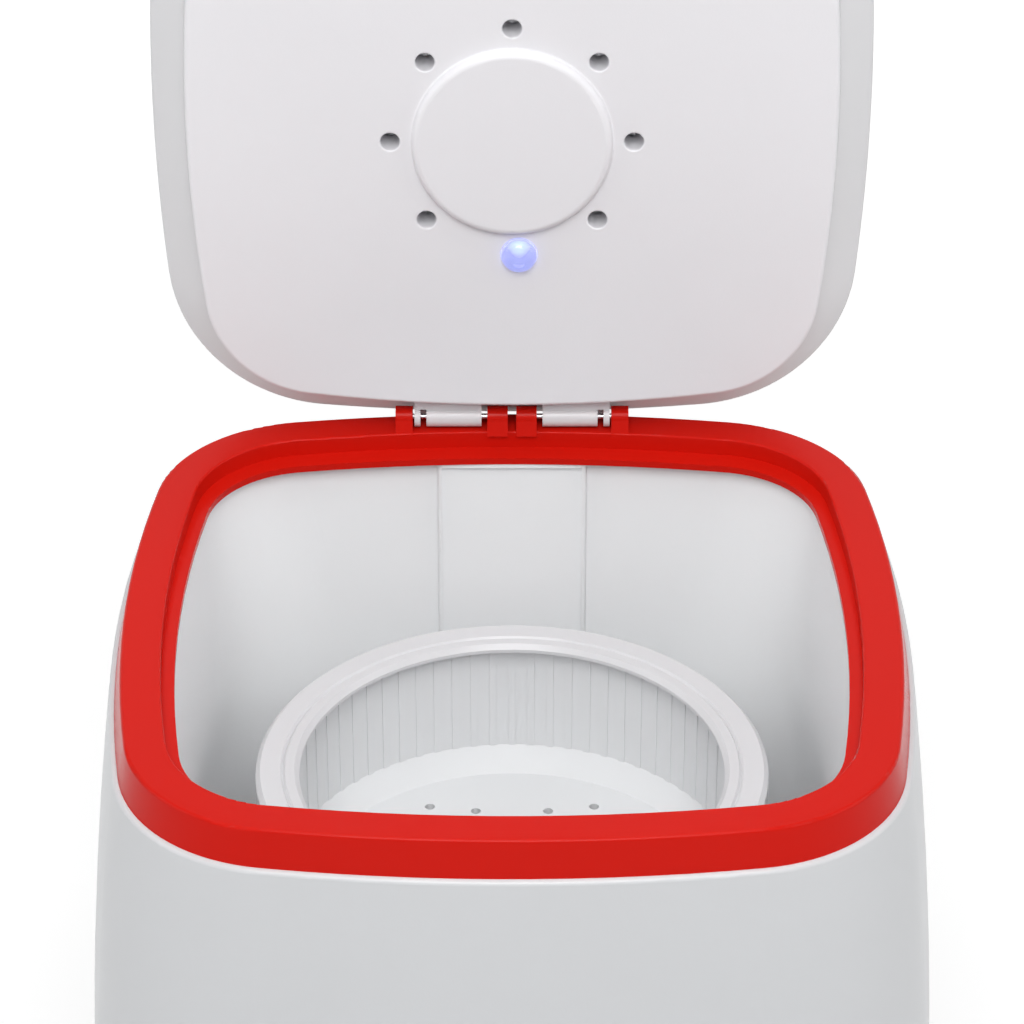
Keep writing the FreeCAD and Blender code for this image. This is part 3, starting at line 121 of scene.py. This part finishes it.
# Depths of grain, and the roughness of the surfaces that have only one.
FINE_GRAIN = 0.008 * MM
GLOSSY_GRAIN = 0.012 * MM
PLASTIC_DEPTH = 0.03 * MM
RUBBER_DEPTH = 0.12 * MM
METAL_DEPTH = 0.02 * MM
PAINT_DEPTH = 0.05 * MM
RUBBER_ROUGH = (0.55, 0.8)
LENS_ROUGH = (0.03, 0.08)

# Print on the controls: how far it stands out, its letters, and where marks and letters lie round a knob.
PRINT_PROUD = 0.12 * MM
PRINT_SUNK = 0.05 * MM
LETTER_HEIGHT = 5.2 * MM
LETTER_RADIUS = 32.3 * MM
TICK_RADII = (25.2 * MM, 27.6 * MM)
LONG_TICK_RADII = (25.2 * MM, 28.8 * MM)
TICK_WIDTH = 0.55 * MM
POINTER_WIDTH = 1.8 * MM
POINTER_END = 2.5 * MM
POINTER_LENGTH = 15 * MM
TIMER_MINUTES = 15
TIMER_STEP = 3
SELECTOR_LABELS = ("1", "OFF", "2")


# Materials

class Nodes:
    """A new material with its shader, and short ways to add and link nodes."""

    def __init__(self, name):
        self.material = bpy.data.materials.new(name)
        self.material.use_nodes = True
        self.tree = self.material.node_tree
        self.shader = self.tree.nodes["Principled BSDF"]
        self.place = self.add("ShaderNodeTexCoord").outputs["Object"]

    def add(self, kind, **settings):
        node = self.tree.nodes.new(kind)
        for key, setting in settings.items():
            if key in node.inputs:
                node.inputs[key].default_value = setting
            else:
                setattr(node, key, setting)
        return node

    def link(self, start, end):
        self.tree.links.new(start, end)

    def set(self, **sockets):
        for key, setting in sockets.items():
            self.shader.inputs[key.replace("_", " ")].default_value = setting

    def noise(self, scale, detail=2.0, stretch=(1, 1, 1)):
        """Noise between 0 and 1, in spots of about 1/scale metres."""
        spread = self.add("ShaderNodeMapping")
        spread.inputs["Scale"].default_value = stretch
        self.link(self.place, spread.inputs["Vector"])
        made = self.add("ShaderNodeTexNoise", Scale=scale, Detail=detail)
        self.link(spread.outputs["Vector"], made.inputs["Vector"])
        return made.outputs["Fac"]

    def rise(self, source, start, end, low=0.0, high=1.0, **settings):
        """Goes from low to high while the source goes from start to end."""
        made = self.add("ShaderNodeMapRange", **settings)
        limits = {"From Min": start, "From Max": end, "To Min": low, "To Max": high}
        for key, limit in limits.items():
            made.inputs[key].default_value = limit
        self.link(source, made.inputs["Value"])
        return made.outputs["Result"]

    def rough(self, noise, low, high):
        """Varies the roughness between two values."""
        self.link(self.rise(noise, NOISE_LOW, NOISE_HIGH, low, high), self.shader.inputs["Roughness"])

    def tint(self, noise, colour, change):
        """Varies the base colour about a plain colour by a share of it."""
        ramp = self.add("ShaderNodeValToRGB")
        for element, share in zip(ramp.color_ramp.elements, (1 - change, 1 + change)):
            element.color = (*(min(1.0, part * share) for part in colour), 1)
        ramp.color_ramp.elements[0].position = NOISE_LOW
        ramp.color_ramp.elements[1].position = NOISE_HIGH
        self.link(noise, ramp.inputs["Fac"])
        self.link(ramp.outputs["Color"], self.shader.inputs["Base Color"])

    def bump(self, noise, depth):
        made = self.add("ShaderNodeBump", Distance=depth)
        self.link(noise, made.inputs["Height"])
        self.link(made.outputs["Normal"], self.shader.inputs["Normal"])


def plastic(name, colour, rough, grain=PLASTIC_GRAIN, depth=PLASTIC_DEPTH, gloss=0.5):
    """Moulded plastic: fine surface grain, faint flow marks, uneven gloss."""
    nodes = Nodes(name)
    nodes.set(Specular_IOR_Level=gloss)
    nodes.tint(nodes.noise(PLASTIC_CLOUDS), colour, change=0.012)
    nodes.rough(nodes.noise(PLASTIC_PATCHES), rough * 0.94, rough * 1.06)
    nodes.bump(nodes.noise(grain), depth)
    return nodes.material


def rubber(name, colour):
    """Dull rubber, cloudy and finely pitted."""
    nodes = Nodes(name)
    nodes.set(Specular_IOR_Level=0.3)
    nodes.tint(nodes.noise(RUBBER_CLOUDS, detail=5.0), colour, change=0.25)
    nodes.rough(nodes.noise(RUBBER_PATCHES, detail=4.0), *RUBBER_ROUGH)
    nodes.bump(nodes.noise(RUBBER_GRAIN, detail=3.0), RUBBER_DEPTH)
    return nodes.material


def metal(name, colour, rough, stretch=(1, 1, 1), depth=METAL_DEPTH, grain=METAL_GRAIN):
    """Bare or plated metal with marks drawn out along one direction."""
    nodes = Nodes(name)
    nodes.set(Metallic=1.0)
    nodes.tint(nodes.noise(METAL_CLOUDS, detail=4.0), colour, change=0.07)
    marks = nodes.noise(grain, detail=3.0, stretch=stretch)
    nodes.rough(marks, rough * 0.75, rough * 1.25)
    nodes.bump(marks, depth)
    return nodes.material


def paint(name, colour, rough):
    """Sprayed paint with a thin clear coat and the faint waves of its spray."""
    nodes = Nodes(name)
    nodes.set(Coat_Weight=0.3, Coat_Roughness=0.2)
    nodes.tint(nodes.noise(PAINT_CLOUDS, detail=4.0), colour, change=0.12)
    nodes.rough(nodes.noise(PAINT_PATCHES, detail=3.0), rough * 0.85, rough * 1.15)
    nodes.bump(nodes.noise(PAINT_GRAIN), PAINT_DEPTH)
    return nodes.material


def diode(name):
    """A diode's blue body, whose chip shines out of its upper part."""
    nodes = Nodes(name)
    nodes.set(Roughness=DIODE_ROUGH, Emission_Strength=1.0)
    nodes.tint(nodes.noise(DIODE_CLOUDS), DIODE_BLUE, change=0.1)
    low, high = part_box("lamp_diode")
    parts = nodes.add("ShaderNodeSeparateXYZ")
    nodes.link(nodes.place, parts.inputs["Vector"])
    share = nodes.rise(parts.outputs["Z"], low.z + CHIP_STARTS * (high.z - low.z), high.z)
    glow = nodes.add("ShaderNodeMixRGB", Color1=(*DIODE_DIM, 1), Color2=(*DIODE_BRIGHT, 1))
    nodes.link(share, glow.inputs["Fac"])
    nodes.link(glow.outputs["Color"], nodes.shader.inputs["Emission Color"])
    return nodes.material


def lens(name):
    """Clear blue-tinted plastic with a trace of the diode's light in it."""
    nodes = Nodes(name)
    nodes.set(Transmission_Weight=LENS_CLEARNESS, IOR=LENS_IOR,
              Emission_Strength=LENS_GLOW_STRENGTH, Emission_Color=(*LENS_GLOW, 1))
    nodes.tint(nodes.noise(LENS_CLOUDS), LENS_TINT, change=0.03)
    nodes.rough(nodes.noise(LENS_PATCHES), *LENS_ROUGH)
    return nodes.material


FINISHES = {
    # The casing's slot takes the darker white, with its painted shade.
    "casing_white": plastic("casing_white", WHITE_CASING_SHADED, 0.36),
    "rim_red": plastic("rim_red", RED, 0.24, depth=FINE_GRAIN, gloss=0.09),
    "lid_white": plastic("lid_white", WHITE_LID, 0.36),
    "panel_white": plastic("panel_white", WHITE_PANEL, 0.42),
    "tub_white": plastic("tub_white", WHITE_TUB, 0.34, depth=GLOSSY_GRAIN),
    "basket_white": plastic("basket_white", WHITE_BASKET, 0.5, depth=GLOSSY_GRAIN, gloss=0.25),
    "base_grey": plastic("base_grey", BASE_GREY, 0.5, grain=700, depth=0.08 * MM),
    "fascia_white": plastic("fascia_white", WHITE_FASCIA, 0.24),
    "knob_red": plastic("knob_red", RED, 0.22, depth=FINE_GRAIN, gloss=0.2),
    "unit_black": plastic("unit_black", UNIT_BLACK, 0.45, grain=700, depth=0.06 * MM),
    "rubber_black": rubber("rubber_black", RUBBER_BLACK),
    "hose_grey": rubber("hose_grey", HOSE_GREY),
    "steel": metal("steel", STEEL, 0.28, stretch=(1, 1, 0.1)),
    "zinc": metal("zinc", ZINC, 0.42, depth=0.04 * MM, grain=120),
    "cast_alloy": metal("cast_alloy", ALLOY, 0.5, depth=0.1 * MM, grain=900),
    "motor_paint": paint("motor_paint", MOTOR_BLACK, 0.4),
    "core_steel": metal("core_steel", CORE_GREY, 0.45, stretch=(0.02, 0.02, 4)),
    "bush_brass": metal("bush_brass", BRASS, 0.38, depth=0.06 * MM, grain=900),
    "lens_clear": lens("lens_clear"),
    "holder_white": plastic("holder_white", WHITE_PANEL, 0.45),
    "board_green": plastic("board_green", BOARD_GREEN, 0.35, grain=300, depth=0.05 * MM),
    "diode_blue": diode("diode_blue"),
}

# Pieces given a darker copy of their slot's white: painted shade that tones down the basket ring's brightly lit
# top.
SHADED_PIECE_FINISHES = {
    "basket_ring": plastic("ring_white_shaded", WHITE_RING_SHADED, 0.3, depth=GLOSSY_GRAIN, gloss=0.35),
}


def finish_nodes():
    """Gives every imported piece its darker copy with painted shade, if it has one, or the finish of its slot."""
    for part in frame["record"]["subparts"]:
        node = part["node"]
        for holder in frame["nodes"][node].material_slots:
            holder.material = SHADED_PIECE_FINISHES.get(node, FINISHES[part["material_slot"]])


# Print on the controls

def add_piece(name, meshes, body, slot):
    """Joins the meshes into one piece that moves with a body and takes a slot's finish."""
    joined = bmesh.new()
    for mesh in meshes:
        joined.from_mesh(mesh)
        bpy.data.meshes.remove(mesh)
    whole = bpy.data.meshes.new(name)
    joined.to_mesh(whole)
    joined.free()
    whole.materials.append(FINISHES[slot])
    piece = bpy.data.objects.new(name, whole)
    bpy.context.scene.collection.objects.link(piece)
    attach(piece, body)


def letters(words, place):
    """Upright words that face the front, with their middle at the place."""
    curve = bpy.data.curves.new("words", "FONT")
    curve.body = words
    curve.size = LETTER_HEIGHT
    curve.extrude = (PRINT_PROUD + PRINT_SUNK) / 2
    curve.align_x = "CENTER"
    curve.align_y = "CENTER"
    holder = bpy.data.objects.new("words", curve)
    mesh = bpy.data.meshes.new_from_object(holder)
    bpy.data.objects.remove(holder)
    mesh.transform(Matrix.Translation(place) @ Matrix.Rotation(math.pi / 2, 4, "X"))
    return mesh


def bar(centre, angle, radii, width):
    """A thin radial bar that faces the front, at a clockwise angle from the top."""
    near, far = radii
    half = Vector((width, PRINT_PROUD + PRINT_SUNK, far - near)) / 2
    shape = bmesh.new()
    bmesh.ops.create_cube(shape, size=2)
    shape.transform(Matrix.Rotation(angle, 4, "Y") @ Matrix.Translation((0, 0, (near + far) / 2))
                    @ Matrix.Diagonal((*half, 1)))
    shape.transform(Matrix.Translation(centre))
    mesh = bpy.data.meshes.new("bar")
    shape.to_mesh(mesh)
    shape.free()
    return mesh


def round_knob(centre, angle, radius):
    return centre + radius * Vector((math.sin(angle), 0, math.cos(angle)))


def print_place(knob, surface):
    """The middle of a knob's print on the front face of a piece."""
    low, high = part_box(knob)
    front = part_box(surface)[0].y
    middle = (low + high) / 2
    return Vector((middle.x, front + (PRINT_SUNK - PRINT_PROUD) / 2, middle.z))


def turn_range(joint):
    found = next(each for each in frame["joints"] if each["name"] == joint)
    return [math.radians(limit) for limit in found["range_deg"]]


def print_timer():
    """A mark for each minute and a number for every third one."""
    centre = print_place("timer_knob", "control_fascia")
    first, last = turn_range("timer_turn")
    marks = []
    for minute in range(TIMER_MINUTES + 1):
        angle = first + (last - first) * minute / TIMER_MINUTES
        numbered = minute % TIMER_STEP == 0
        marks.append(bar(centre, angle, LONG_TICK_RADII if numbered else TICK_RADII, TICK_WIDTH))
        if numbered:
            marks.append(letters(str(minute), round_knob(centre, angle, LETTER_RADIUS)))
    add_piece("timer_print", marks, "cabinet", "unit_black")


def print_selector():
    """A mark and a label for each of the switch's places."""
    centre = print_place("selector_knob", "control_fascia")
    first, last = turn_range("selector_turn")
    marks = []
    for place, label in enumerate(SELECTOR_LABELS):
        angle = first + (last - first) * place / (len(SELECTOR_LABELS) - 1)
        marks.append(bar(centre, angle, LONG_TICK_RADII, TICK_WIDTH))
        marks.append(letters(label, round_knob(centre, angle, LETTER_RADIUS)))
    add_piece("selector_print", marks, "cabinet", "unit_black")


def print_pointer(body):
    """A white line on the upper end of the knob's bar."""
    knob = f"{body}_knob"
    centre = print_place(knob, knob)
    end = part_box(knob)[1].z - centre.z - POINTER_END
    line = bar(centre, 0, (end - POINTER_LENGTH, end), POINTER_WIDTH)
    add_piece(f"{body}_pointer", [line], body, "fascia_white")


# Studio

def seen_rays(tree):
    """1 for rays that show the background: camera, mirror and glass rays."""
    path = tree.nodes.new("ShaderNodeLightPath")
    total = path.outputs["Is Camera Ray"]
    for name in ("Is Glossy Ray", "Is Transmission Ray"):
        made = tree.nodes.new("ShaderNodeMath")
        made.operation = "ADD"
        made.use_clamp = True
        tree.links.new(total, made.inputs[0])
        tree.links.new(path.outputs[name], made.inputs[1])
        total = made.outputs[0]
    return total


def pick_seen(tree, other, seen, output):
    """Shows one shader to the rays that see the background, and the other to the rest."""
    pick = tree.nodes.new("ShaderNodeMixShader")
    tree.links.new(seen_rays(tree), pick.inputs[0])
    tree.links.new(other.outputs[0], pick.inputs[1])
    tree.links.new(seen.outputs[0], pick.inputs[2])
    tree.links.new(pick.outputs[0], tree.nodes[output].inputs["Surface"])


def make_floor():
    """A pale floor, white far away, where lamps don't reach, and greyer in the machine's shade."""
    bpy.ops.mesh.primitive_plane_add(size=2 * FLOOR_HALF)
    floor = bpy.context.object
    floor.name = "floor"
    nodes = Nodes("floor_white")
    nodes.set(Base_Color=(*FLOOR_WHITE, 1), Roughness=FLOOR_ROUGH, Specular_IOR_Level=0.0)
    distance = nodes.add("ShaderNodeVectorMath", operation="LENGTH")
    nodes.link(nodes.place, distance.inputs[0])
    strength = nodes.rise(distance.outputs["Value"], GLOW_STARTS, GLOW_ENDS,
                          FLOOR_GLOW_NEAR, FLOOR_GLOW_FAR, interpolation_type="SMOOTHSTEP")
    glow = nodes.add("ShaderNodeEmission")
    nodes.link(strength, glow.inputs["Strength"])
    lit = nodes.add("ShaderNodeAddShader")
    nodes.link(nodes.shader.outputs[0], lit.inputs[0])
    nodes.link(glow.outputs[0], lit.inputs[1])
    pick_seen(nodes.tree, nodes.shader, lit, "Material Output")
    floor.data.materials.append(nodes.material)


def make_world():
    """Dim surroundings that look white."""
    world = bpy.data.worlds.new("studio")
    bpy.context.scene.world = world
    world.use_nodes = True
    tree = world.node_tree
    ambient = tree.nodes["Background"]
    white = tree.nodes.new("ShaderNodeBackground")
    for shader, strength in ((ambient, AMBIENT), (white, BACKGROUND_WHITE)):
        shader.inputs["Color"].default_value = (1, 1, 1, 1)
        shader.inputs["Strength"].default_value = strength
    pick_seen(tree, ambient, white, "World Output")


def add_lamp(name, location, target, size, watts):
    """A square softbox that lights the machine without showing itself to the camera."""
    light = bpy.data.lights.new(name, "AREA")
    light.shape = "SQUARE"
    light.size = size
    light.energy = watts
    lamp = bpy.data.objects.new(name, light)
    lamp.location = location
    lamp.visible_camera = False
    heading = Vector(target) - Vector(location)
    lamp.rotation_euler = heading.to_track_quat("-Z", "Y").to_euler()
    bpy.context.scene.collection.objects.link(lamp)


def make_camera():
    camera = bpy.data.objects.new("camera", bpy.data.cameras.new("camera"))
    camera.data.sensor_width = SENSOR_MM
    camera.data.lens = FOCAL_PIXELS * SENSOR_MM / IMAGE_SIZE
    back = Vector((0, -math.cos(CAMERA_ELEVATION), math.sin(CAMERA_ELEVATION)))
    camera.location = RIM_CENTRE + CAMERA_DISTANCE * back
    raised = math.atan((RIM_CENTRE_PIXEL_Y - IMAGE_SIZE / 2) / FOCAL_PIXELS)
    camera.rotation_euler = (math.pi / 2 - CAMERA_ELEVATION + raised, 0, 0)
    bpy.context.scene.collection.objects.link(camera)
    bpy.context.scene.camera = camera


finish_nodes()
print_timer()
print_selector()
for knob_body in ("timer", "selector"):
    print_pointer(knob_body)
make_floor()
make_world()
for lamp_name, lamp_facts in LAMPS.items():
    add_lamp(lamp_name, *lamp_facts)
make_camera()
bpy.context.scene.view_settings.view_transform = "Standard"
